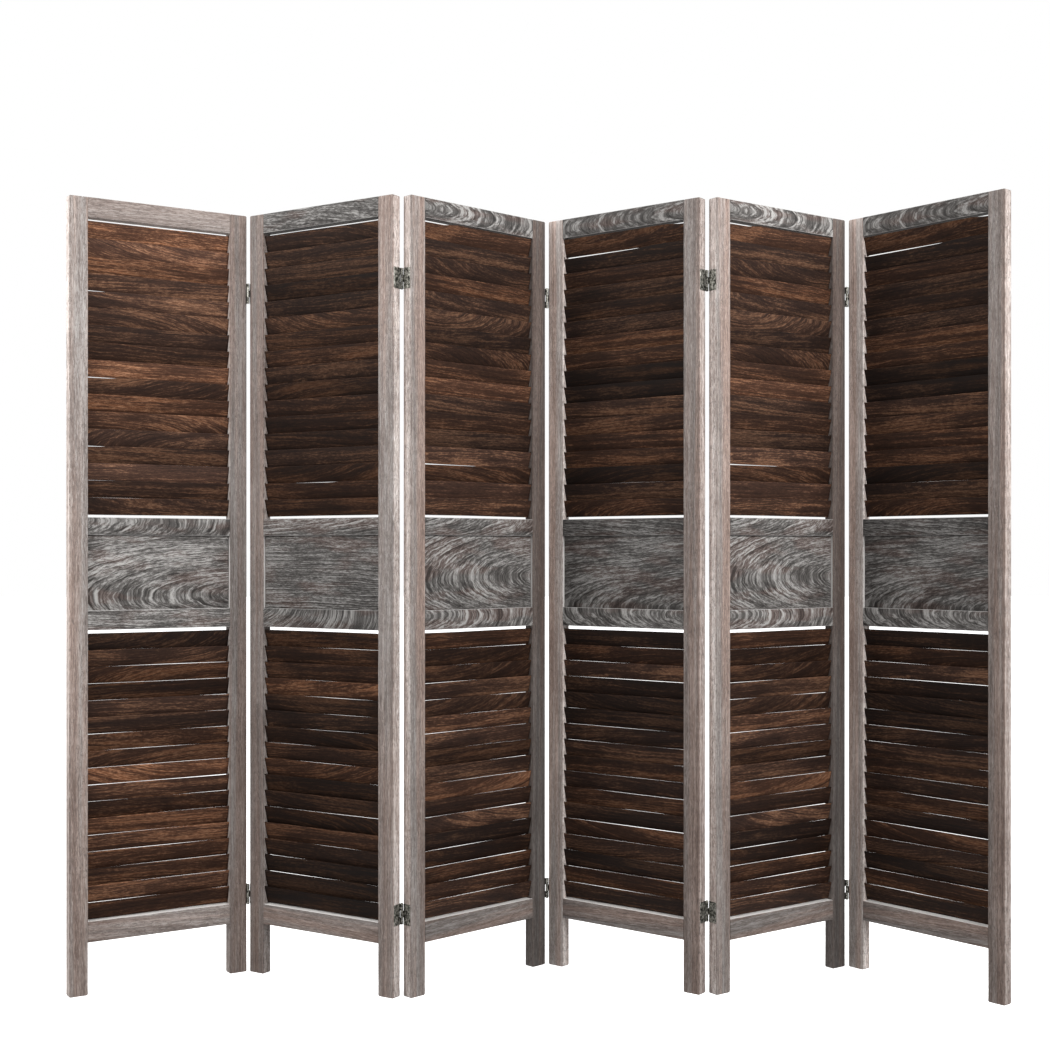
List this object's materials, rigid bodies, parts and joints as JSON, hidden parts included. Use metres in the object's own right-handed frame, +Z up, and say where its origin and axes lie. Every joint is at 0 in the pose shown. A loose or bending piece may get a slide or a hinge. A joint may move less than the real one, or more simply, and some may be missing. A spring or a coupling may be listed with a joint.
{
  "type": "folding room divider screen",
  "caption": "Free-standing folding room divider of hinged louvred wooden panels with a limed frame, dark slats and a recessed centre board.",
  "frame": {"origin": "on the floor, under the centre of the screen's overall box as it stands in a zig-zag", "axes": "+X runs along the screen from its left end to its right end as seen from the front, +Z is up, and the front faces look toward -Y"},
  "size_m": [1.9894, 0.3448, 1.7],
  "materials": {
    "frame_wood": "limed, satin",
    "rail_wood": "limed dark grain, satin",
    "slat_wood": "carbonised, satin",
    "hinge_metal": "antique bronze"
  },
  "bodies": {
    "panel_1": {"panel_1_left_stile": "frame_wood", "panel_1_right_stile": "frame_wood", "panel_1_top_rail": "rail_wood", "panel_1_bottom_rail": "frame_wood", "panel_1_centre_panel": "rail_wood", "panel_1_louvres": "slat_wood", "hinge_1_2_lower_left_leaf": "hinge_metal", "hinge_1_2_upper_left_leaf": "hinge_metal"},
    "panel_2": {"panel_2_left_stile": "frame_wood", "panel_2_right_stile": "frame_wood", "panel_2_top_rail": "rail_wood", "panel_2_bottom_rail": "frame_wood", "panel_2_centre_panel": "rail_wood", "panel_2_louvres": "slat_wood", "hinge_1_2_lower_right_leaf": "hinge_metal", "hinge_1_2_upper_right_leaf": "hinge_metal", "hinge_2_3_lower_left_leaf": "hinge_metal", "hinge_2_3_upper_left_leaf": "hinge_metal"},
    "panel_3": {"panel_3_left_stile": "frame_wood", "panel_3_right_stile": "frame_wood", "panel_3_top_rail": "rail_wood", "panel_3_bottom_rail": "frame_wood", "panel_3_centre_panel": "rail_wood", "panel_3_louvres": "slat_wood", "hinge_2_3_lower_right_leaf": "hinge_metal", "hinge_2_3_upper_right_leaf": "hinge_metal", "hinge_3_4_lower_left_leaf": "hinge_metal", "hinge_3_4_upper_left_leaf": "hinge_metal"},
    "panel_4": {"panel_4_left_stile": "frame_wood", "panel_4_right_stile": "frame_wood", "panel_4_top_rail": "rail_wood", "panel_4_bottom_rail": "frame_wood", "panel_4_centre_panel": "rail_wood", "panel_4_louvres": "slat_wood", "hinge_3_4_lower_right_leaf": "hinge_metal", "hinge_3_4_upper_right_leaf": "hinge_metal", "hinge_4_5_lower_left_leaf": "hinge_metal", "hinge_4_5_upper_left_leaf": "hinge_metal"},
    "panel_5": {"panel_5_left_stile": "frame_wood", "panel_5_right_stile": "frame_wood", "panel_5_top_rail": "rail_wood", "panel_5_bottom_rail": "frame_wood", "panel_5_centre_panel": "rail_wood", "panel_5_louvres": "slat_wood", "hinge_4_5_lower_right_leaf": "hinge_metal", "hinge_4_5_upper_right_leaf": "hinge_metal", "hinge_5_6_lower_left_leaf": "hinge_metal", "hinge_5_6_upper_left_leaf": "hinge_metal"},
    "panel_6": {"panel_6_left_stile": "frame_wood", "panel_6_right_stile": "frame_wood", "panel_6_top_rail": "rail_wood", "panel_6_bottom_rail": "frame_wood", "panel_6_centre_panel": "rail_wood", "panel_6_louvres": "slat_wood", "hinge_5_6_lower_right_leaf": "hinge_metal", "hinge_5_6_upper_right_leaf": "hinge_metal"}
  },
  "joints": [
    {"name": "fold_1_2", "type": "hinge", "parent": "panel_2", "child": "panel_1", "pos_m": [-0.63835, 0.08994, 0.85], "axis": [0, 0, 1], "range_deg": [-64, 116]},
    {"name": "fold_2_3", "type": "hinge", "parent": "panel_3", "child": "panel_2", "pos_m": [-0.28093, -0.09981, 0.85], "axis": [0, 0, -1], "range_deg": [-75.5, 104.5]},
    {"name": "fold_3_4", "type": "hinge", "parent": "panel_3", "child": "panel_4", "pos_m": [0.03592, 0.1519, 0.85], "axis": [0, 0, -1], "range_deg": [-81.5, 98.5]},
    {"name": "fold_4_5", "type": "hinge", "parent": "panel_4", "child": "panel_5", "pos_m": [0.37154, -0.07418, 0.85], "axis": [0, 0, 1], "range_deg": [-74, 106]},
    {"name": "fold_5_6", "type": "hinge", "parent": "panel_5", "child": "panel_6", "pos_m": [0.71854, 0.13403, 0.85], "axis": [0, 0, -1], "range_deg": [-86, 94]}
  ]
}
